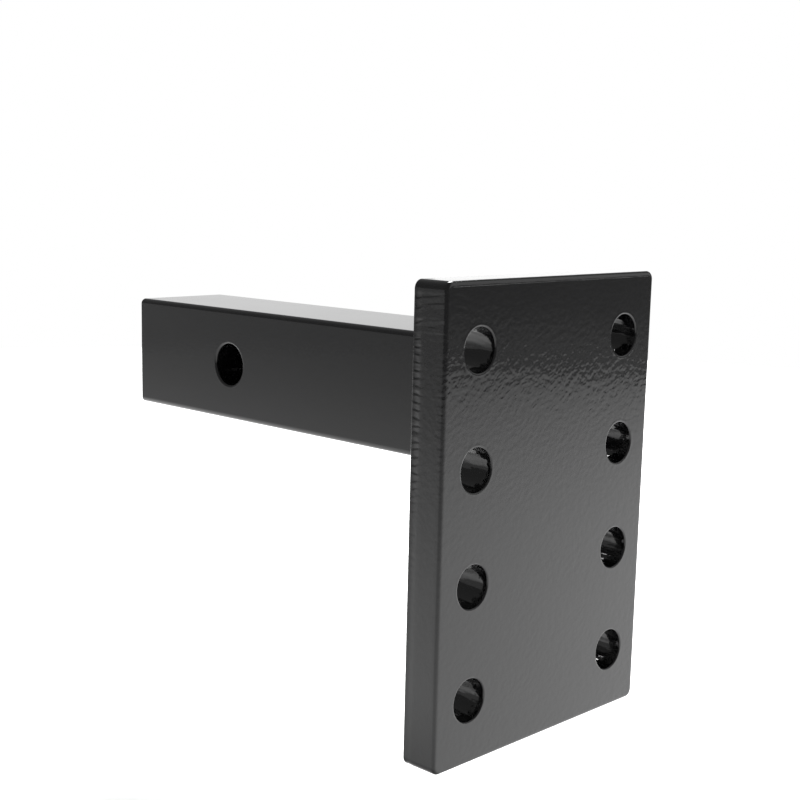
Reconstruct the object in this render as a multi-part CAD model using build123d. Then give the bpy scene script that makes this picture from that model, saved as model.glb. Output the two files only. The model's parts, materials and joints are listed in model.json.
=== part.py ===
from build123d import *
import os

# Receiver hook mount plate. A thick plate with two columns of bolt holes stands across the
# end of a solid square bar and is welded to it all round. The bar slides into a square
# receiver tube and is held there by a pin, so the frame's origin is the middle of the pin
# bore: +X runs along the pin, +Y along the bar into the receiver, +Z up. Millimetres.

# Plate
plate_width = 127.0  # 5 in
plate_height = 184.15  # 7 1/4 in
plate_thickness = 15.875  # 5/8 in
plate_corner_radius = 3.5  # corners of the outline, cut round
plate_front_rounding = 1.3  # edge round the front face
plate_back_rounding = 0.6  # edge round the back face
plate_rise_above_shank = 24.4  # from the bar's top face up to the plate's top edge

# Bolt holes in the plate
bolt_hole_diameter = 16.8  # clearance for a 5/8 in bolt
bolt_hole_rounding = 0.65  # edge of each hole on both faces
bolt_row_pitch = 44.45  # 1 3/4 in
bolt_row_margin = 25.4  # from the plate's top edge to the first row, and at least this below the last
bolt_column_spacing = 88.9  # 3 1/2 in

# Shank, the square bar
shank_width = 50.8  # 2 in, for a receiver tube of that size
shank_length = 219.5  # from the plate's back face to the free end
shank_corner_radius = 2.5  # the bar's four long edges
shank_end_rounding = 0.8  # edges of the free end
pin_bore_diameter = 18.8  # loose on a 5/8 in pin
pin_bore_rounding = 1.1  # edge of the bore at both ends
pin_from_free_end = 68.0  # from the bar's free end to the bore's middle

# Fillet weld round the bar, behind the plate
weld_leg = 5.0  # small enough to leave room for nuts on the bolts beside the bar
weld_toe = 0.5  # thickness of the bead where it ends on each steel face
weld_crown = 0.5  # how far the bead's face bulges past a flat one

# Places that follow from the sizes above
plate_back_y = pin_from_free_end - shank_length
plate_top_z = shank_width / 2 + plate_rise_above_shank
plate_middle_z = plate_top_z - plate_height / 2

# As many rows as the plate has room for. The small share stops rounding from losing the last.
row_gaps = int((plate_height - 2 * bolt_row_margin) / bolt_row_pitch + 0.001)


def outer_edges(faces):
    """Edges round the outside of each face."""
    return [edge for face in faces for edge in face.outer_wire().edges()]


def hole_edges(faces):
    """Edges round the holes in each face."""
    return [edge for face in faces for wire in face.inner_wires() for edge in wire.edges()]


def bolt_hole_places():
    """Centre of each bolt hole as (x, z), row by row from the top."""
    columns = (-bolt_column_spacing / 2, bolt_column_spacing / 2)
    first_row = plate_top_z - bolt_row_margin
    rows = [first_row - gap * bolt_row_pitch for gap in range(row_gaps + 1)]
    return [(x, z) for z in rows for x in columns]


def make_mount_plate():
    """The upright plate, drilled from front to back."""
    back_face = Plane(origin=(0, plate_back_y, 0), x_dir=(1, 0, 0), z_dir=(0, -1, 0))
    outline = RectangleRounded(plate_width, plate_height, plate_corner_radius)
    sketch = Pos(0, plate_middle_z) * outline
    for x, z in bolt_hole_places():
        sketch -= Pos(x, z) * Circle(bolt_hole_diameter / 2)
    plate = extrude(back_face * sketch, amount=plate_thickness)
    faces = plate.faces().sort_by(Axis.Y)
    plate = fillet(hole_edges([faces[0], faces[-1]]), bolt_hole_rounding)
    back = plate.faces().sort_by(Axis.Y)[-1]
    plate = fillet(outer_edges([back]), plate_back_rounding)
    front = plate.faces().sort_by(Axis.Y)[0]
    return fillet(outer_edges([front]), plate_front_rounding)


def make_receiver_shank():
    """The square bar, with a cross bore for the hitch pin."""
    front_end = Plane(origin=(0, plate_back_y, 0), x_dir=(-1, 0, 0), z_dir=(0, 1, 0))
    section = RectangleRounded(shank_width, shank_width, shank_corner_radius)
    shank = extrude(front_end * section, amount=shank_length)
    free_end = shank.faces().sort_by(Axis.Y)[-1]
    shank = fillet(free_end.edges(), shank_end_rounding)
    shank -= Rot(0, 90, 0) * Cylinder(pin_bore_diameter / 2, shank_width)
    faces = shank.faces().sort_by(Axis.X)
    return fillet(hole_edges([faces[0], faces[-1]]), pin_bore_rounding)


def weld_section(x):
    """Cross-section of the bead on the bar's top face, at a place along that face."""
    stand = Plane(origin=(x, plate_back_y, shank_width / 2), x_dir=(0, 0, 1), z_dir=(-1, 0, 0))
    middle = (weld_leg + weld_toe) / 2 + weld_crown / 2**0.5
    edges = [
        Line((0, weld_leg), (0, 0)),
        Line((0, 0), (weld_leg, 0)),
        Line((weld_leg, 0), (weld_leg, weld_toe)),
        ThreePointArc((weld_leg, weld_toe), (middle, middle), (weld_toe, weld_leg)),
        Line((weld_toe, weld_leg), (0, weld_leg)),
    ]
    return stand * make_face(edges)


def make_weld_bead():
    """The bead on the bar's top face, carried half-way round both of its corners."""
    flat_end = shank_width / 2 - shank_corner_radius
    bead = extrude(weld_section(flat_end), amount=2 * flat_end)
    for side in (-1, 1):
        corner = Axis((side * flat_end, plate_back_y, flat_end), (0, side, 0))
        bead += revolve(weld_section(side * flat_end), corner, 45)
    return bead


def make_weld_beads():
    """Four beads, one on each face of the bar, that meet at its corners."""
    bead = make_weld_bead()
    sides = ("top", "right", "bottom", "left")
    return {f"weld_bead_{side}": Rot(0, 90 * turn, 0) * bead for turn, side in enumerate(sides)}


def main():
    nodes = {"mount_plate": make_mount_plate(), "receiver_shank": make_receiver_shank()}
    nodes.update(make_weld_beads())
    os.makedirs("parts", exist_ok=True)
    for name, shape in nodes.items():
        export_step(shape, f"parts/{name}.step")


main()
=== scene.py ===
# %% [markdown]
# # Receiver hook mount plate
# A thick steel plate with eight bolt holes stands across the end of a solid square bar. The
# bar slides into a square receiver tube and a pin holds it there. Plate, bar and the weld
# between them are one weldment under one coat of black powder paint.
#
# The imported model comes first. Its pieces are already in place and at their real size, in
# metres, so everything below is measured from them instead of being placed by eye.

# %% Load the frame
import json
import math

import bmesh
import bpy
from mathutils import Matrix, Vector
from mathutils.geometry import tessellate_polygon


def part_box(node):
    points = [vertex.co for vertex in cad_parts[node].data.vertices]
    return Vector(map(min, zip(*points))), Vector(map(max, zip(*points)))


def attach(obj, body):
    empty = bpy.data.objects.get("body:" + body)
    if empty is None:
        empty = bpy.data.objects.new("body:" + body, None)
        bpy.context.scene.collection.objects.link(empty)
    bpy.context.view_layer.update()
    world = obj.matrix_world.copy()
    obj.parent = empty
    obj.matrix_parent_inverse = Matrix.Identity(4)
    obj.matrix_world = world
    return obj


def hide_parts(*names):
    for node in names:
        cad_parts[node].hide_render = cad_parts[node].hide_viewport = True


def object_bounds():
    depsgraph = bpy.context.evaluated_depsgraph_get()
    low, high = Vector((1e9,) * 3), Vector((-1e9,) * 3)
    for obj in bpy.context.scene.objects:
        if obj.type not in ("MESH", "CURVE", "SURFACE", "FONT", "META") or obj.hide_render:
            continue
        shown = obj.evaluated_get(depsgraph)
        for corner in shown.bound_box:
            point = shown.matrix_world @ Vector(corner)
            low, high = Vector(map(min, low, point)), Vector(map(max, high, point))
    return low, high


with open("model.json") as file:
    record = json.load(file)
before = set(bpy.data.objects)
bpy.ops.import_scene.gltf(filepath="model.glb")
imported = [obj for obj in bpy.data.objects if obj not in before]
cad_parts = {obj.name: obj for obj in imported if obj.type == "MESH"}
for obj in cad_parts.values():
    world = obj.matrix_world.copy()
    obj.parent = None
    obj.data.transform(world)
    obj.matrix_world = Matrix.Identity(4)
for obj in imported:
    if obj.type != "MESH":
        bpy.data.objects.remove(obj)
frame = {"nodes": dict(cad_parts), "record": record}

MM = 0.001

cad_low, cad_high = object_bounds()
for name in sorted(frame["nodes"]):
    low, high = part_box(name)
    print(f"{name}: {[round(v / MM, 1) for v in high - low]} mm")

# %% [markdown]
# ## Two small helpers
# Paint colours are written as the hex values that a colour picker shows. The shader wants
# linear light, so one function turns one into the other. Node trees are long to write out,
# so a second function adds a node, sets its values and joins its inputs in one call.

# %% Helpers for colours and nodes


def linear(hex_colour):
    """Turns an sRGB hex colour such as "#1b1c1d" into linear red, green, blue and alpha."""
    channels = [int(hex_colour[i : i + 2], 16) / 255 for i in (1, 3, 5)]
    light = [c / 12.92 if c <= 0.04045 else ((c + 0.055) / 1.055) ** 2.4 for c in channels]
    return (*light, 1.0)


def add_node(tree, kind, settings=None, **inputs):
    """Adds a node. Settings are its own properties; an input is a value or a socket to join."""
    node = tree.nodes.new(kind)
    for key, value in (settings or {}).items():
        setattr(node, key, value)
    for key, value in inputs.items():
        socket = node.inputs[int(key[1:]) if key[1:].isdigit() else key.replace("_", " ")]
        if isinstance(value, bpy.types.NodeSocket):
            tree.links.new(value, socket)
        else:
            socket.default_value = value
    return node


# %% [markdown]
# ## The camera
# The picture was taken from the front left, a little above the bar, by a long lens. Where a
# camera stands decides the perspective; where it points only slides the picture. A small
# lens shift keeps the upright edges nearly parallel, as the photographer had them.

# %% Place the camera
SENSOR = 36.0
LENS = 62.75
CAMERA_PLACE = Vector((-426.4, -495.1, 83.0)) * MM
HEADING = math.radians(45.29)
PITCH = math.radians(-9.81)
ROLL = math.radians(1.18)
SHIFT_RIGHT = 0.025
SHIFT_UP = 0.031

forward = Vector(
    (
        math.sin(HEADING) * math.cos(PITCH),
        math.cos(HEADING) * math.cos(PITCH),
        math.sin(PITCH),
    )
)
camera_data = bpy.data.cameras.new("product_camera")
camera_data.sensor_width = SENSOR
camera_data.lens = LENS
camera_data.shift_x = SHIFT_RIGHT
camera_data.shift_y = SHIFT_UP
camera = bpy.data.objects.new("product_camera", camera_data)
aim = forward.to_track_quat("-Z", "Y").to_matrix().to_4x4()
camera.matrix_world = Matrix.Translation(CAMERA_PLACE) @ aim @ Matrix.Rotation(ROLL, 4, "Z")
bpy.context.scene.collection.objects.link(camera)
bpy.context.scene.camera = camera
print("camera stands", round(CAMERA_PLACE.length / MM), "mm from the pin bore")

# %% [markdown]
# ## Floor and light
# A dark glossy thing shows its surroundings more than its own colour. So the light is built
# as a set of surroundings. The plate's face mirrors a brightly lit pale floor, up to where
# the floor ends, and a few low strips along its rim make that mirrored edge fade upwards
# instead of stopping dead. Upward faces mirror a bright card behind, at a low angle, with a
# small one beside it for the right end of the plate's top. The sides that face left mirror a
# dimmer card on that side, and the rounded top edge a tall box in front. Above all of them
# is a dim room, which leaves the rest nearly black.
#
# The cards stand just beyond the floor's rim, because a light that stands over a floor draws
# a line on it along its own plane. The lamp overhead hangs behind and to the right of the
# object, so its soft shadow falls forward, below the picture.

# %% Floor
FLOOR_BELOW = 60 * MM
FLOOR_RADIUS = 1.7

floor_z = cad_low.z - FLOOR_BELOW
floor_mesh = bpy.data.meshes.new("pale_floor")
floor_shape = bmesh.new()
bmesh.ops.create_circle(floor_shape, cap_ends=True, segments=128, radius=FLOOR_RADIUS)
floor_shape.transform(Matrix.Translation((0, 0, floor_z)))
floor_shape.to_mesh(floor_mesh)
floor_shape.free()
floor = bpy.data.objects.new("pale_floor", floor_mesh)
bpy.context.scene.collection.objects.link(floor)


def make_floor_paint():
    """Matt white paint: it spreads the lamp's light evenly and mirrors next to nothing."""
    paint = bpy.data.materials.new("matt_white_table")
    paint.use_nodes = True
    shader = paint.node_tree.nodes["Principled BSDF"]
    shader.inputs["Base Color"].default_value = linear("#f4f4f4")
    shader.inputs["Roughness"].default_value = 0.9
    shader.inputs["Specular IOR Level"].default_value = 0.1
    return paint


floor_mesh.materials.append(make_floor_paint())
print("floor lies", round(FLOOR_BELOW / MM), "mm below the plate, radius", FLOOR_RADIUS, "m")

# %% Lights


def add_light(name, place, target, width, height, radiance):
    """A soft box: a rectangle of even light. Its power follows from how bright it looks."""
    data = bpy.data.lights.new(name, "AREA")
    data.shape = "RECTANGLE"
    data.size = width
    data.size_y = height
    data.energy = radiance * math.pi * width * height
    light = bpy.data.objects.new(name, data)
    light.matrix_world = Matrix.Translation(place) @ (
        (Vector(target) - Vector(place)).to_track_quat("-Z", "Y").to_matrix().to_4x4()
    )
    light.visible_camera = False
    bpy.context.scene.collection.objects.link(light)
    return light


# Each light's place, what it faces, width and height in metres, and radiance: 1 looks white
add_light("overhead_box", (0.7, 0.29, 1.15), (0.7, 0.29, 0), 0.8, 0.8, 33.0)
add_light("front_box", (1.18, -1.27, 0.81), (0, -0.16, 0.81), 1.24, 1.6, 0.7)
add_light("back_card", (1.25, 1.25, 0.094), (0, 0, 0.05), 2.6, 0.61, 0.75)
add_light("right_card", (1.47, 0.92, 0.16), (0.03, -0.16, 0.05), 0.49, 0.44, 0.42)
add_light("left_card", (-1.3, 1.14, 0.016), (0, -0.1, 0.05), 1.58, 0.475, 0.32)

# Strips of rising height at the floor's far edge, so that its mirrored edge fades upwards
STRIP_TOPS = {-0.165: 0.3, -0.135: 0.1, -0.1: 0.05, -0.06: 0.02}  # with their radiance
for top, radiance in STRIP_TOPS.items():
    height = top - floor_z
    middle = floor_z + height / 2
    add_light("front_strip", (1.44, -1.25, middle), (0, -0.167, middle), 0.9, height, radiance)

print(len(bpy.data.lights), "lights")

# %% Room
view = bpy.context.scene.view_settings
view.view_transform = "Standard"
view.look = "None"
ROOM_RADIANCE = 0.25


def make_room():
    """The room: plain white behind everything the camera sees, dim where surfaces mirror it."""
    world = bpy.data.worlds.new("dim_room")
    world.use_nodes = True
    tree = world.node_tree
    tree.nodes.clear()
    path = add_node(tree, "ShaderNodeLightPath")
    dim = add_node(tree, "ShaderNodeBackground", Color=(1, 1, 1, 1), Strength=ROOM_RADIANCE)
    white = add_node(tree, "ShaderNodeBackground", Color=(1, 1, 1, 1), Strength=1.0)
    mix = add_node(
        tree,
        "ShaderNodeMixShader",
        _0=path.outputs["Is Camera Ray"],
        _1=dim.outputs[0],
        _2=white.outputs[0],
    )
    add_node(tree, "ShaderNodeOutputWorld", Surface=mix.outputs[0])
    return world


bpy.context.scene.world = make_room()
print("room mirrors as", ROOM_RADIANCE, "of plain white")

# %% [markdown]
# ## Black powder coat
# Powder paint is sprayed on dry and melted in an oven, where it flows out into a thick
# glossy skin. Two things give it away: it keeps a faint orange peel, shallow dimples two or
# three millimetres across, and it is black by reflection only. Almost no light comes out of
# the pigment itself, so the base colour is nearly nothing and all that shows is mirrored.
#
# The peel could be modelled, but its dimples are only a few hundredths of a millimetre deep,
# so it is bump. On this plate they run together into short slanted marks, so a Mapping node
# stretches and turns the noise. The bar is cold drawn and smoother than the plate, so it
# gets a much shallower peel, and faint streaks along its length that the die left.

# %% Powder coat
COAT_COLOUR = "#0f0f10"
THICK_FILM_ROUGHNESS = 0.075
THIN_FILM_ROUGHNESS = 0.11
COAT_IOR = 1.5  # polyester and epoxy powders, near enough
PEEL_SIZE = 2.3 * MM
PEEL_STRETCH = (1.2, 1.0, 0.95)  # the dimples are longer than wide
PEEL_SLANT = math.radians(27)  # and rise to the right, seen from the front
PLATE_PEEL_DEPTH = 0.056 * MM
BAR_PEEL_DEPTH = 0.006 * MM
FINE_PEEL_SIZE = 1.1 * MM
FINE_PEEL_SHARE = 0.16  # how deep the fine ripple is, as a share of the peel
CLOUD_SIZE = 35 * MM
DIE_LINE_SIZE = 1.2 * MM
DIE_LINE_LENGTH = 60 * MM
DIE_LINE_DEPTH = 0.0015 * MM


def make_powder_coat(name, peel_depth, die_line_depth):
    """Glossy black powder paint. Depths are in metres, from the lowest to the highest point."""
    coat = bpy.data.materials.new(name)
    coat.use_nodes = True
    tree = coat.node_tree
    shader = tree.nodes["Principled BSDF"]
    shader.inputs["Base Color"].default_value = linear(COAT_COLOUR)
    shader.inputs["IOR"].default_value = COAT_IOR
    place = add_node(tree, "ShaderNodeTexCoord").outputs["Object"]

    # Gloss wanders a little every few centimetres, where the film is thicker or thinner
    cloud = add_node(
        tree, "ShaderNodeTexNoise", Vector=place, Scale=1 / CLOUD_SIZE, Detail=3.0
    )
    gloss = add_node(
        tree,
        "ShaderNodeMapRange",
        Value=cloud.outputs[0],
        From_Min=0.3,
        From_Max=0.7,
        To_Min=THICK_FILM_ROUGHNESS,
        To_Max=THIN_FILM_ROUGHNESS,
    )
    tree.links.new(gloss.outputs[0], shader.inputs["Roughness"])

    # Orange peel: rounded dimples with a finer ripple between them
    slanted = add_node(
        tree,
        "ShaderNodeMapping",
        {"vector_type": "TEXTURE"},
        Vector=place,
        Rotation=(0, -PEEL_SLANT, 0),
        Scale=[PEEL_SIZE * share for share in PEEL_STRETCH],
    )
    peel = add_node(
        tree, "ShaderNodeTexNoise", Vector=slanted.outputs[0], Scale=1.0, Detail=1.0
    )
    fine = add_node(
        tree, "ShaderNodeTexNoise", Vector=place, Scale=1 / FINE_PEEL_SIZE, Detail=0.0
    )
    coarse_bump = add_node(
        tree, "ShaderNodeBump", Height=peel.outputs[0], Distance=peel_depth, Strength=1.0
    )
    fine_bump = add_node(
        tree,
        "ShaderNodeBump",
        Height=fine.outputs[0],
        Distance=peel_depth * FINE_PEEL_SHARE,
        Strength=1.0,
        Normal=coarse_bump.outputs[0],
    )
    surface = fine_bump
    if die_line_depth:
        stretched = add_node(
            tree,
            "ShaderNodeMapping",
            Vector=place,
            Scale=(1 / DIE_LINE_SIZE, 1 / DIE_LINE_LENGTH, 1 / DIE_LINE_SIZE),
        )
        streaks = add_node(
            tree, "ShaderNodeTexNoise", Vector=stretched.outputs[0], Scale=1.0, Detail=2.0
        )
        surface = add_node(
            tree,
            "ShaderNodeBump",
            Height=streaks.outputs[0],
            Distance=die_line_depth,
            Strength=1.0,
            Normal=fine_bump.outputs[0],
        )
    tree.links.new(surface.outputs[0], shader.inputs["Normal"])
    return coat


plate_coat = make_powder_coat("black_powder_coat_with_orange_peel", PLATE_PEEL_DEPTH, 0)
bar_coat = make_powder_coat("black_powder_coat_on_drawn_bar", BAR_PEEL_DEPTH, DIE_LINE_DEPTH)
frame["nodes"]["receiver_shank"].data.materials[0] = bar_coat
print("coats:", plate_coat.name, "and", bar_coat.name)

# %% [markdown]
# ## The plate
# The plate is flame cut from thick sheet. Its faces are flat and its edges broken, but the
# cut walls are not smooth: the flame leaves drag lines across the thickness, short nicks that
# start at the side where the flame came out and die away towards the other.
#
# The solid model has the plate without those lines. Its triangles are long and thin, too few
# to carry them. So the plate is built once more as rings of points that follow its outline,
# close enough together to be pushed in and out. Everything is measured from the solid: its
# box gives the outline, and the bolt patterns in the record give the holes.

# %% Sizes of the plate
plate_low, plate_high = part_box("mount_plate")
PLATE_CORNER = 3.5 * MM
FRONT_ROUNDING = 1.3 * MM
BACK_ROUNDING = 0.6 * MM
HOLE_ROUNDING = 0.65 * MM
FINE_STEP = 0.2 * MM  # spacing of points along the outline at the top, 14 to a drag line
COARSE_STEP = 0.5 * MM  # and at the bottom, where the cut is clean
WALL_STEP = 1.5 * MM  # spacing of rings across the cut wall
LIP_STEP = 0.55 * MM  # and over the last few millimetres, where the lip is
LIP_REACH = 4.6 * MM
HOLE_WALL_RINGS = 7
HOLE_SEGMENTS = 128
FRONT_ARC_STEPS = 6  # quads across each rounding
BACK_ARC_STEPS = 3
HOLE_ARC_STEPS = 4

# The front edge was eased by hand, so the face slopes off a little before the rounding
SHOULDER_WIDTH = 0.8 * MM
SHOULDER_SLOPE = math.radians(6)

# Paint draws back from a sharp edge and piles up just beside it, in a low broad welt
WELT_WIDTH = 1.1 * MM
WELT_HEIGHT = 0.02 * MM
FLAT_RING = 1.3  # where the ring on the flat lies, as a share of the welt's or shoulder's width

patterns = [m for m in frame["record"]["mounts"] if m["kind"] == "bolt_pattern"]
HOLE_RADIUS = patterns[0]["dims"]["hole_r_mm"] * MM
hole_places = set()
for pattern in patterns:
    for side in (-1, 1):
        for end in (-1, 1):
            x = pattern["pos_m"][0] + side * pattern["dims"]["spacing_x_mm"] * MM / 2
            z = pattern["pos_m"][2] + end * pattern["dims"]["spacing_y_mm"] * MM / 2
            hole_places.add((round(x, 6), round(z, 6)))
hole_places = sorted(hole_places)
print(len(hole_places), "bolt holes of", round(2 * HOLE_RADIUS / MM, 2), "mm")

# %% [markdown]
# ### Outline and edge
# One function walks round the outline and gives, for each point, its place, the direction
# that faces outwards and how far from the middle of the top edge it is, down either side.
# The others give the edge as seen in a section: how far in from the outline each ring lies,
# and how deep. The back edge and the holes have a plain rounding with a welt of paint beside
# it, the front edge a soft shoulder. Outline times section is the wall.

# %% Outline and section


def spread_points(length, first, last):
    """Places along a length whose spacing goes evenly from the first step to the last."""
    count = round(2 * length / (first + last))
    shares = [i / count for i in range(count)]
    pull = (last - first) / (last + first)
    return [length * (share + pull * share * (share - 1)) for share in shares]


def walk_outline(middle, width, height, radius):
    """Points round a rectangle with round corners: (x, z, outward x, outward z, run). The run
    is counted from the middle of the top edge, down both sides alike."""
    points = []
    length = 0.0
    half = (width / 2 - radius, height / 2 - radius)
    steps = (COARSE_STEP, FINE_STEP, FINE_STEP, COARSE_STEP, COARSE_STEP)
    for quarter in range(4):
        angle = quarter * math.pi / 2
        out = Vector((round(math.cos(angle)), round(math.sin(angle))))
        along = Vector((-out.y, out.x))
        reach = half[quarter % 2]
        run = half[1 - quarter % 2]
        for place in spread_points(2 * run, steps[quarter], steps[quarter + 1]):
            spot = middle + out * (reach + radius) + along * (place - run)
            points.append((spot.x, spot.y, out.x, out.y, length + place))
        length += 2 * run
        corner = middle + out * reach + along * run
        turns = round(radius * math.pi / 2 / FINE_STEP / 1.5)
        for i in range(turns):
            turn = angle + math.pi / 2 * i / turns
            face = Vector((math.cos(turn), math.sin(turn)))
            spot = corner + face * radius
            points.append((spot.x, spot.y, face.x, face.y, length + radius * (turn - angle)))
        length += radius * math.pi / 2
    top = 2 * half[1] + radius * math.pi / 2 + half[0]
    return [
        (x, z, out_x, out_z, abs((run - top + length / 2) % length - length / 2))
        for x, z, out_x, out_z, run in points
    ]


def rounded_edge(rounding, steps):
    """A rounded edge and the welt of paint beside it, as (distance in, depth)."""
    rings = [(rounding + WELT_WIDTH * FLAT_RING, WELT_HEIGHT)]
    for share in (1.0, 0.7, 0.35):
        rings.append((rounding + WELT_WIDTH * share, WELT_HEIGHT * (3 - 2 * share) * share**2))
    for i in range(steps + 1):
        turn = math.pi / 2 * i / steps
        rings.append((rounding * (1 - math.sin(turn)), rounding * (1 - math.cos(turn))))
    return rings


def eased_edge(rounding, steps):
    """A rounding and the soft shoulder that leads into it, as (distance in, depth)."""
    start = rounding * (1 - math.sin(SHOULDER_SLOPE))
    drop = SHOULDER_WIDTH * math.tan(SHOULDER_SLOPE) / 2
    rings = [(start + SHOULDER_WIDTH * FLAT_RING, 0.0)]
    for share in (1.0, 0.75, 0.5, 0.25):
        rings.append((start + SHOULDER_WIDTH * share, drop * (1 - share) ** 2))
    for i in range(steps + 1):
        turn = SHOULDER_SLOPE + (math.pi / 2 - SHOULDER_SLOPE) * i / steps
        depth = drop + rounding * (math.cos(SHOULDER_SLOPE) - math.cos(turn))
        rings.append((rounding * (1 - math.sin(turn)), depth))
    return [(inset, WELT_HEIGHT + depth) for inset, depth in rings]


def edge_section():
    """Rings of the wall from front to back, as (distance in from the outline, y)."""
    thickness = plate_high.y - plate_low.y
    front = eased_edge(FRONT_ROUNDING, FRONT_ARC_STEPS)
    back = [
        (inset, thickness - depth)
        for inset, depth in reversed(rounded_edge(BACK_ROUNDING, BACK_ARC_STEPS))
    ]
    plain = thickness - FRONT_ROUNDING - LIP_REACH
    lip = LIP_REACH - BACK_ROUNDING
    plain_count = round(plain / WALL_STEP)
    lip_count = round(lip / LIP_STEP)
    middle = [(0.0, FRONT_ROUNDING + plain * i / plain_count) for i in range(1, plain_count)]
    middle += [(0.0, thickness - LIP_REACH + lip * i / lip_count) for i in range(lip_count)]
    return [(inset, plate_low.y + depth) for inset, depth in front + middle + back]


plate_middle = Vector(((plate_low.x + plate_high.x) / 2, (plate_low.z + plate_high.z) / 2))
outline = walk_outline(
    plate_middle,
    plate_high.x - plate_low.x,
    plate_high.z - plate_low.z,
    PLATE_CORNER,
)
section = edge_section()
print(len(outline), "points along the outline,", len(section), "rings across the edge")

# %% [markdown]
# ### The mesh
# Wall, hole walls and the two flat faces share their points, so the plate comes out as one
# closed skin. Each flat face is one outline with eight holes in it, which Blender's own
# tessellation fills. Beside every rounded edge lies one more ring on the flat: it keeps the
# shading of the rounding from bleeding across the face.

# %% Rings and flats


def hole_section():
    """Rings of a hole from front to back, as (distance out from the hole's wall, y)."""
    thickness = plate_high.y - plate_low.y
    front = rounded_edge(HOLE_ROUNDING, HOLE_ARC_STEPS)
    wall = thickness - 2 * HOLE_ROUNDING
    count = HOLE_WALL_RINGS + 1
    middle = [(0.0, HOLE_ROUNDING + wall * i / count) for i in range(1, count)]
    back = [(wide, thickness - depth) for wide, depth in reversed(front)]
    return [(wide, plate_low.y + depth) for wide, depth in front + middle + back]


def join_rings(shape, rings, flip):
    """Quads between one ring of points and the next, all round."""
    for near, far in zip(rings, rings[1:]):
        for i in range(len(near)):
            j = (i + 1) % len(near)
            corners = (near[i], far[i], far[j], near[j])
            shape.faces.new(corners[::-1] if flip else corners)


def fill_flat(shape, loops, flip):
    """Fills a flat outline with holes. All loops lie at one depth."""
    corners = [corner for loop in loops for corner in loop]
    triangles = tessellate_polygon([[corner.co for corner in loop] for loop in loops])
    for triangle in triangles:
        face = shape.faces.new([corners[i] for i in triangle])
        face.normal_update()
        if (face.normal.y > 0) != flip:
            face.normal_flip()


# %% Build the plate


def build_plate():
    """The closed skin. Each point of a wall knows how far along the cut it lies, how deep in
    the thickness, and whether it is in a hole."""
    shape = bmesh.new()
    along = shape.verts.layers.float.new("along")
    across = shape.verts.layers.float.new("across")
    in_hole = shape.verts.layers.float.new("in_hole")
    thickness = plate_high.y - plate_low.y
    wall_rings = []
    for inset, y in section:
        ring = []
        for x, z, out_x, out_z, run in outline:
            corner = shape.verts.new((x - inset * out_x, y, z - inset * out_z))
            corner[along] = run
            corner[across] = (y - plate_low.y) / thickness
            ring.append(corner)
        wall_rings.append(ring)
    join_rings(shape, wall_rings, False)
    holes = []
    for x, z in hole_places:
        rings = []
        for wide, y in hole_section():
            ring = []
            for i in range(HOLE_SEGMENTS):
                turn = 2 * math.pi * i / HOLE_SEGMENTS
                out = Vector((math.cos(turn), 0, math.sin(turn))) * (HOLE_RADIUS + wide)
                corner = shape.verts.new(Vector((x, y, z)) + out)
                corner[along] = turn * HOLE_RADIUS
                corner[across] = (y - plate_low.y) / thickness
                corner[in_hole] = 1.0
                ring.append(corner)
            rings.append(ring)
        join_rings(shape, rings, True)
        holes.append(rings)
    fill_flat(shape, [wall_rings[0]] + [rings[0] for rings in holes], False)
    fill_flat(shape, [wall_rings[-1]] + [rings[-1] for rings in holes], True)
    for face in shape.faces:
        face.smooth = True
    return shape


plate_shape = build_plate()
plate_mesh = bpy.data.meshes.new("flame_cut_plate")
plate_shape.to_mesh(plate_mesh)
open_edges = sum(not edge.is_manifold for edge in plate_shape.edges)
print(len(plate_mesh.polygons), "faces,", open_edges, "open edges")
print("volume", round(plate_shape.calc_volume(signed=True) / MM**3), "cubic mm")
plate_shape.free()

# %% [markdown]
# ### Drag lines
# The lines repeat along the cut, so Geometry Nodes lay them. Every point of the wall already
# knows how far along the cut it lies and how deep in the thickness. Each line is a lopsided
# groove: the wall falls away gently and comes back in one steep little step, which faces up
# and so mirrors the dim room. Noise makes the lines wander and gives each its own strength,
# and a ramp on the depth keeps them near the back of the plate. Where the cut began, at the
# top, they run right across. Lower down the plate is hot, the flame cuts cleaner and they
# fade. The bolt holes, cut by the same flame, have them all round.
#
# Where the flame leaves the plate it drags the steel into a low lip, so the wall curls out a
# little before the back edge. The outline is the lip's, and the wall in front of it lies in.
# Lines and lip both end at the corners of the top edge, which is smooth.

# %% Sizes of the drag lines
DRAG_SPACING = 2.9 * MM
DRAG_DEPTH = 0.2 * MM
DRAG_REACH = 5.0 * MM
DRAG_LEAN = 0.2  # how far a line climbs for each millimetre towards the front
STEEP_FROM = 0.84  # where in each line's spacing the steep step back out begins
WANDER = 0.35  # how far a line strays, as a share of the spacing
SWAY_SIZE = 7 * MM  # and over what length of cut
PATCH_SIZE = 4.5 * MM  # length of cut over which lines stay strong or weak
HOLE_LINES = 0.6  # strength of the lines in the bolt holes
WALL_SWELL = 0.06 * MM  # how far the wall is from flat
SWELL_SIZE = 14 * MM
LIP_HEIGHT = 0.12 * MM

# Depths below the top edge between which the lines change
EDGE_ENDS = (1.2 * MM, 6 * MM)  # they come in below the corner
FIRST_CUT = (14 * MM, 26 * MM)  # they draw back to the edges
WARMING = (48 * MM, 85 * MM)  # they lose most of their depth
HOT = (95 * MM, 125 * MM)  # and most of what is left
print("a line every", round(DRAG_SPACING / MM, 1), "mm,", round(DRAG_DEPTH / MM, 2), "mm deep")

# %% Helpers for geometry trees


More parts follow.
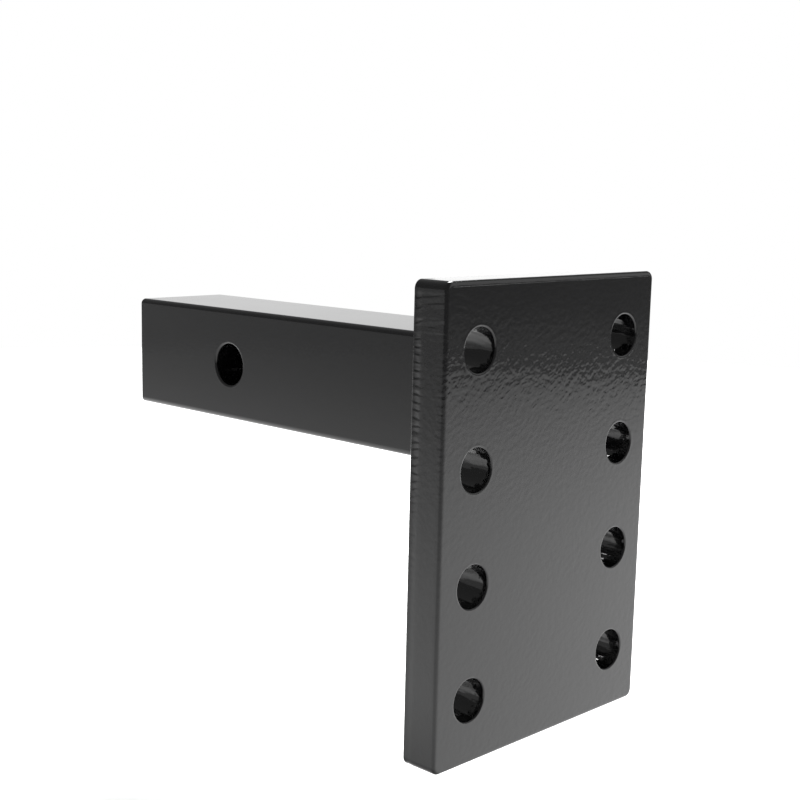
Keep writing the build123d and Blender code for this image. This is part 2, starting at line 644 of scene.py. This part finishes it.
def new_tree(name, sizes):
    """A geometry tree with one mesh in, one mesh out and a named input for each size."""
    tree = bpy.data.node_groups.new(name, "GeometryNodeTree")
    tree.interface.new_socket("Geometry", in_out="INPUT", socket_type="NodeSocketGeometry")
    for key, kind in sizes.items():
        tree.interface.new_socket(key, in_out="INPUT", socket_type=kind)
    tree.interface.new_socket("Geometry", in_out="OUTPUT", socket_type="NodeSocketGeometry")
    return tree, tree.nodes.new("NodeGroupInput").outputs


def calculate(tree, operation, *values):
    """One step of arithmetic on numbers or sockets. Gives the socket with the result."""
    inputs = {f"_{i}": value for i, value in enumerate(values)}
    return add_node(tree, "ShaderNodeMath", {"operation": operation}, **inputs).outputs[0]


def ramp(tree, value, start, end):
    """Goes smoothly from 0, at start, to 1, at end."""
    return add_node(
        tree,
        "ShaderNodeMapRange",
        {"interpolation_type": "SMOOTHSTEP"},
        Value=value,
        From_Min=start,
        From_Max=end,
    ).outputs[0]


def fade(tree, value, start, end):
    """Goes smoothly from 1, at start, to 0, at end."""
    return calculate(tree, "SUBTRACT", 1.0, ramp(tree, value, start, end))


def ripples(tree, phase, sharpness):
    """A row of even dips, one for each whole number of the phase, 1 deep at their middle."""
    wave = calculate(tree, "COSINE", calculate(tree, "MULTIPLY", phase, 2 * math.pi))
    lifted = calculate(tree, "MULTIPLY_ADD", wave, 0.5, 0.5)
    return calculate(tree, "POWER", lifted, sharpness)


def finish_tree(tree, geometry, coat):
    """Every tree ends the same way: real geometry, with its material."""
    whole = add_node(tree, "GeometryNodeRealizeInstances", Geometry=geometry)
    painted = add_node(tree, "GeometryNodeSetMaterial", Geometry=whole.outputs[0], Material=coat)
    add_node(tree, "NodeGroupOutput", Geometry=painted.outputs[0])


# %% Parts of the drag-line tree


def lopsided_grooves(tree, sizes, place, along, from_back):
    """The lines at full length, 0 to 1 deep: in evenly over most of the spacing, then out in
    one steep step. Noise sways them and makes some stretches weaker."""
    sway = add_node(tree, "ShaderNodeTexNoise", Vector=place, Scale=1 / SWAY_SIZE, Detail=1.0)
    swayed = calculate(tree, "SUBTRACT", sway.outputs[0], 0.5)
    leant = calculate(tree, "MULTIPLY_ADD", from_back, sizes["Lean"], along)
    steps = calculate(tree, "DIVIDE", leant, sizes["Spacing"])
    # Noise strays about a quarter either way, so four times it is the whole share
    wander = calculate(tree, "MULTIPLY", sizes["Wander"], 4.0)
    phase = calculate(tree, "FRACT", calculate(tree, "MULTIPLY_ADD", swayed, wander, steps))
    falls = calculate(tree, "MINIMUM", calculate(tree, "DIVIDE", phase, STEEP_FROM), 1.0)
    groove = calculate(tree, "MULTIPLY", falls, fade(tree, phase, STEEP_FROM, 1.0))
    patch = add_node(
        tree, "ShaderNodeTexNoise", {"noise_dimensions": "1D"}, W=along, Scale=1 / PATCH_SIZE
    )
    return calculate(tree, "MULTIPLY", groove, ramp(tree, patch.outputs[0], 0.2, 0.55))


def line_strength(tree, sizes, across, from_back, below_top):
    """Where the lines show on the sides: near the back, faintly at the front, or right across
    by the top. They are weaker lower down, where the plate was warm and then hot."""
    near_back = fade(tree, from_back, 2.6 * MM, sizes["Reach"])
    at_front = calculate(tree, "MULTIPLY", fade(tree, across, 0.11, 0.2), 0.3)
    full_width = calculate(tree, "MULTIPLY", fade(tree, below_top, *FIRST_CUT), 0.6)
    at_edges = calculate(tree, "MAXIMUM", near_back, at_front)
    on_side = calculate(tree, "MAXIMUM", at_edges, full_width)
    warm = calculate(tree, "MULTIPLY_ADD", ramp(tree, below_top, *WARMING), -0.75, 1.0)
    hot = calculate(tree, "MULTIPLY_ADD", ramp(tree, below_top, *HOT), -0.17, warm)
    return calculate(tree, "MULTIPLY", on_side, hot)


def lip_valley(tree, from_back):
    """The hollow in front of the lip, 0 to 1 deep and steep on the lip's side."""
    up_to_lip = ramp(tree, from_back, 0.3 * MM, 1.8 * MM)
    return calculate(tree, "MULTIPLY", up_to_lip, fade(tree, from_back, 1.8 * MM, 5 * MM))


# %% Tree for the drag lines


def make_drag_line_tree():
    """Pushes each point of the walls in by the lines, the swell and the lip's valley."""
    tree, sizes = new_tree(
        "flame_cut_drag_lines",
        {
            "Spacing": "NodeSocketFloat",
            "Depth": "NodeSocketFloat",
            "Reach": "NodeSocketFloat",
            "Lean": "NodeSocketFloat",
            "Wander": "NodeSocketFloat",
            "Swell": "NodeSocketFloat",
            "Lip": "NodeSocketFloat",
            "Thickness": "NodeSocketFloat",
            "Top": "NodeSocketFloat",
            "Coat": "NodeSocketMaterial",
        },
    )
    along, across, in_hole = (
        add_node(tree, "GeometryNodeInputNamedAttribute", Name=name).outputs[0]
        for name in ("along", "across", "in_hole")
    )
    place = add_node(tree, "GeometryNodeInputPosition").outputs[0]
    height = add_node(tree, "ShaderNodeSeparateXYZ", Vector=place).outputs["Z"]
    below_top = calculate(tree, "SUBTRACT", sizes["Top"], height)
    from_back = calculate(
        tree, "MULTIPLY", calculate(tree, "SUBTRACT", 1.0, across), sizes["Thickness"]
    )

    # The lines, on the sides and in the holes. On the sides they end at the lip
    outside = calculate(tree, "SUBTRACT", 1.0, in_hole)
    on_sides = calculate(tree, "MULTIPLY", outside, ramp(tree, below_top, *EDGE_ENDS))
    strength = line_strength(tree, sizes, across, from_back, below_top)
    side_lines = calculate(tree, "MULTIPLY", strength, on_sides)
    hole_lines = calculate(tree, "MULTIPLY", in_hole, HOLE_LINES)
    spread = calculate(tree, "ADD", side_lines, hole_lines)
    before_lip = calculate(
        tree, "MAXIMUM", in_hole, ramp(tree, from_back, 0.6 * MM, 1.4 * MM)
    )
    shown = calculate(tree, "MULTIPLY", spread, before_lip)
    grooves = lopsided_grooves(tree, sizes, place, along, from_back)
    cut = calculate(
        tree, "MULTIPLY", calculate(tree, "MULTIPLY", grooves, shown), sizes["Depth"]
    )

    # The wall between the lines is not quite flat, and it lies in before the lip
    swell = add_node(tree, "ShaderNodeTexNoise", Vector=place, Scale=1 / SWELL_SIZE, Detail=1.0)
    swollen = calculate(tree, "MULTIPLY", swell.outputs[0], sizes["Swell"])
    valley = calculate(tree, "MULTIPLY", lip_valley(tree, from_back), on_sides)
    behind_lip = calculate(tree, "MULTIPLY", valley, sizes["Lip"])
    drawn = calculate(tree, "ADD", calculate(tree, "ADD", cut, swollen), behind_lip)

    # All of it stays off the flat faces
    off_front = ramp(tree, across, 0.02, 0.09)
    on_wall = calculate(tree, "MULTIPLY", off_front, fade(tree, across, 0.95, 0.995))
    inwards = calculate(tree, "MULTIPLY", drawn, on_wall)
    push = add_node(
        tree,
        "ShaderNodeVectorMath",
        {"operation": "SCALE"},
        Vector=add_node(tree, "GeometryNodeInputNormal").outputs[0],
        Scale=calculate(tree, "MULTIPLY", inwards, -1.0),
    )
    moved = add_node(
        tree, "GeometryNodeSetPosition", Geometry=sizes["Geometry"], Offset=push.outputs[0]
    )
    finish_tree(tree, moved.outputs[0], sizes["Coat"])
    return tree


# %% [markdown]
# A tree does nothing until an object uses it. The modifier's inputs are set by the
# identifier of each socket, then the result is taken as a plain mesh and the helper object
# goes. What is left is ordinary geometry, with nothing live on it.

# %% Run a tree


def run_tree(name, mesh, tree, values):
    """Runs a geometry tree on a mesh and gives an object with the result as plain mesh."""
    maker = bpy.data.objects.new(name + "_maker", mesh)
    bpy.context.scene.collection.objects.link(maker)
    modifier = maker.modifiers.new("tree", "NODES")
    modifier.node_group = tree
    for socket in tree.interface.items_tree:
        if socket.in_out == "INPUT" and socket.name in values:
            modifier[socket.identifier] = values[socket.name]
    evaluated = maker.evaluated_get(bpy.context.evaluated_depsgraph_get())
    result = bpy.data.meshes.new_from_object(evaluated)
    result.name = name
    bpy.data.objects.remove(maker)
    piece = bpy.data.objects.new(name, result)
    bpy.context.scene.collection.objects.link(piece)
    print(name + ":", len(result.polygons), "faces")
    return piece


# %% The plate with its drag lines
plate = run_tree(
    "flame_cut_plate",
    plate_mesh,
    make_drag_line_tree(),
    {
        "Spacing": DRAG_SPACING,
        "Depth": DRAG_DEPTH,
        "Reach": DRAG_REACH,
        "Lean": DRAG_LEAN,
        "Wander": WANDER,
        "Swell": WALL_SWELL,
        "Lip": LIP_HEIGHT,
        "Thickness": plate_high.y - plate_low.y,
        "Top": plate_high.z,
        "Coat": plate_coat,
    },
)
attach(plate, "root")
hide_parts("mount_plate")

# %% [markdown]
# ## The weld
# The bar is welded to the back of the plate all round. A welder lays such a bead as a row of
# small puddles, each frozen over the last, so its face is a stack of crescents. The solid
# model has the bead's true size but a smooth face. Here a short path and a section are
# swept by Curve to Mesh, and the ripples are pushed up out of the face. The paint rounds
# them a little.
#
# There are four beads, one for each side of the bar. Each turns half-way round both
# corners, where it meets its neighbours.

# %% Sizes of the weld
bar_low, bar_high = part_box("receiver_shank")
bead_low, bead_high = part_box("weld_bead_top")
WELD_LEG = bead_high.y - bead_low.y
WELD_TOE = 0.5 * MM
WELD_CROWN = 0.5 * MM
BAR_CORNER = 2.5 * MM
RIPPLE_PITCH = 2.1 * MM
RIPPLE_HEIGHT = 0.22 * MM
RIPPLE_BOW = 0.7  # how far a crescent bows forward, as a share of the pitch
RIPPLE_SHARPNESS = 1.6
RIPPLE_JITTER = 1.2  # how far noise shifts a crescent, as a share of the pitch
RIPPLE_UNEVENNESS = 1.6  # and how much higher or lower it makes one, as a share of the height
JITTER_SIZE = 6 * MM
PATH_STEP = 0.25 * MM
END_STEP = 0.005 * MM
CORNER_STEPS = 10
FACE_STEPS = 14
print("weld leg", round(WELD_LEG / MM, 2), "mm")

# %% Path and section of a bead


def chain_mesh(name, points, closed, attribute=None):
    """A mesh of points joined one after another, with one number kept on each if given."""
    edges = [(i, i + 1) for i in range(len(points) - 1)]
    if closed:
        edges.append((len(points) - 1, 0))
    mesh = bpy.data.meshes.new(name)
    mesh.from_pydata(points, edges, [])
    if attribute:
        layer = mesh.attributes.new(attribute[0], "FLOAT", "POINT")
        layer.data.foreach_set("value", attribute[1])
    return mesh


def bead_path():
    """The corner between bar and plate, under the bar: half a corner, a straight run, half a
    corner. It runs towards -X, which turns the section's first axis away from the plate."""
    flat = (bar_high.x - bar_low.x) / 2 - BAR_CORNER
    points = []
    for side in (1, -1):
        arc = []
        for i in range(CORNER_STEPS + 1):
            turn = math.pi / 4 * i / CORNER_STEPS
            x = side * (flat + BAR_CORNER * math.sin(turn))
            arc.append(Vector((x, bead_low.y, bar_low.z + BAR_CORNER * (1 - math.cos(turn)))))
        # A last tiny step in the true direction squares the cut end
        arc.append(arc[-1] + Vector((side, 0, 1)) * END_STEP)
        points += arc[::-1] if side > 0 else arc
        if side > 0:
            count = round(2 * flat / PATH_STEP)
            points += [
                Vector((flat - 2 * flat * i / count, bead_low.y, bar_low.z))
                for i in range(1, count)
            ]
    return points


def bead_section():
    """The fillet in section: two legs, two toes and a crowned face, and where the face is."""
    corners = [(0.0, WELD_LEG), (0.0, 0.0), (WELD_LEG, 0.0)]
    face = []
    start = Vector((WELD_LEG, WELD_TOE))
    end = Vector((WELD_TOE, WELD_LEG))
    out = Vector((1, 1)).normalized()
    for i in range(FACE_STEPS + 1):
        share = i / FACE_STEPS
        spot = start.lerp(end, share) + out * WELD_CROWN * 4 * share * (1 - share)
        face.append((spot.x, spot.y))
    points = corners + face
    shares = [0.0] * len(corners) + [i / FACE_STEPS for i in range(FACE_STEPS + 1)]
    return points, shares


# %% Tree for the beads


def make_bead_tree():
    """Sweeps the section along the path and pushes the ripples up out of the bead's face."""
    tree, sizes = new_tree(
        "rippled_weld_bead",
        {
            "Section": "NodeSocketObject",
            "Pitch": "NodeSocketFloat",
            "Height": "NodeSocketFloat",
            "Bow": "NodeSocketFloat",
            "Seed": "NodeSocketFloat",
            "Coat": "NodeSocketMaterial",
        },
    )
    line = add_node(tree, "GeometryNodeMeshToCurve", Mesh=sizes["Geometry"])
    length = add_node(tree, "GeometryNodeSplineParameter").outputs["Length"]
    marked = add_node(
        tree,
        "GeometryNodeStoreNamedAttribute",
        Geometry=line.outputs[0],
        Name="run",
        Value=length,
    )
    info = add_node(tree, "GeometryNodeObjectInfo", Object=sizes["Section"])
    section_line = add_node(tree, "GeometryNodeMeshToCurve", Mesh=info.outputs["Geometry"])
    swept = add_node(
        tree,
        "GeometryNodeCurveToMesh",
        Curve=marked.outputs[0],
        Profile_Curve=section_line.outputs[0],
        Fill_Caps=True,
    )
    run = add_node(tree, "GeometryNodeInputNamedAttribute", Name="run").outputs[0]
    face = add_node(tree, "GeometryNodeInputNamedAttribute", Name="face").outputs[0]

    # 1 in the middle of the face, 0 at both toes and on the hidden legs
    hump = calculate(tree, "MULTIPLY", face, calculate(tree, "SUBTRACT", 1.0, face))
    middle = calculate(tree, "MULTIPLY", hump, 4.0)
    jitter = add_node(
        tree,
        "ShaderNodeTexNoise",
        {"noise_dimensions": "2D"},
        Vector=add_node(tree, "ShaderNodeCombineXYZ", X=run, Y=sizes["Seed"]).outputs[0],
        Scale=1 / JITTER_SIZE,
        Detail=1.0,
    )
    uneven = calculate(tree, "SUBTRACT", jitter.outputs[0], 0.5)
    steps = calculate(tree, "DIVIDE", run, sizes["Pitch"])
    bowed = calculate(tree, "ADD", steps, calculate(tree, "MULTIPLY", middle, sizes["Bow"]))
    shifted = calculate(tree, "MULTIPLY", uneven, RIPPLE_JITTER)
    phase = calculate(tree, "ADD", bowed, shifted)
    ridge = calculate(tree, "SUBTRACT", 1.0, ripples(tree, phase, RIPPLE_SHARPNESS))
    lift = calculate(tree, "MULTIPLY_ADD", uneven, RIPPLE_UNEVENNESS, ridge)
    height = calculate(tree, "MULTIPLY", lift, sizes["Height"])
    amount = calculate(
        tree, "MULTIPLY", height, calculate(tree, "POWER", middle, 0.6)
    )
    push = add_node(
        tree,
        "ShaderNodeVectorMath",
        {"operation": "SCALE"},
        Vector=add_node(tree, "GeometryNodeInputNormal").outputs[0],
        Scale=amount,
    )
    moved = add_node(
        tree, "GeometryNodeSetPosition", Geometry=swept.outputs[0], Offset=push.outputs[0]
    )
    smooth = add_node(
        tree, "GeometryNodeSetShadeSmooth", Geometry=moved.outputs[0], Shade_Smooth=True
    )
    finish_tree(tree, smooth.outputs[0], sizes["Coat"])
    return tree


# %% Lay the four beads
section_points, face_shares = bead_section()
section_mesh = chain_mesh(
    "bead_section", [(x, y, 0.0) for x, y in section_points], True, ("face", face_shares)
)
section_object = bpy.data.objects.new("bead_section", section_mesh)
bpy.context.scene.collection.objects.link(section_object)
bead_tree = make_bead_tree()
bar_middle = Vector((0, 0, (bar_low.z + bar_high.z) / 2))
for side, name in enumerate(("bottom", "left", "top", "right")):
    bead = run_tree(
        f"rippled_weld_bead_{name}",
        chain_mesh("bead_path", bead_path(), False),
        bead_tree,
        {
            "Section": section_object,
            "Pitch": RIPPLE_PITCH,
            "Height": RIPPLE_HEIGHT,
            "Bow": RIPPLE_BOW,
            "Seed": 0.37 * side,
            "Coat": plate_coat,
        },
    )
    to_middle = Matrix.Translation(bar_middle)
    quarter = Matrix.Rotation(math.pi / 2 * side, 4, "Y")
    bead.data.transform(to_middle @ quarter @ to_middle.inverted())
    heights = [v.co.z / MM for v in bead.data.vertices]
    print("  it lies between", round(min(heights), 1), "and", round(max(heights), 1), "mm high")
    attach(bead, "root")
    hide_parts(f"weld_bead_{name}")
bpy.data.objects.remove(section_object)

# %% [markdown]
# ## Finish
# The size of the imported solids, measured before any dressing, is printed.

# %% Write the sizes and finish
print("solids:", [round(v / MM, 2) for v in cad_high - cad_low], "mm")
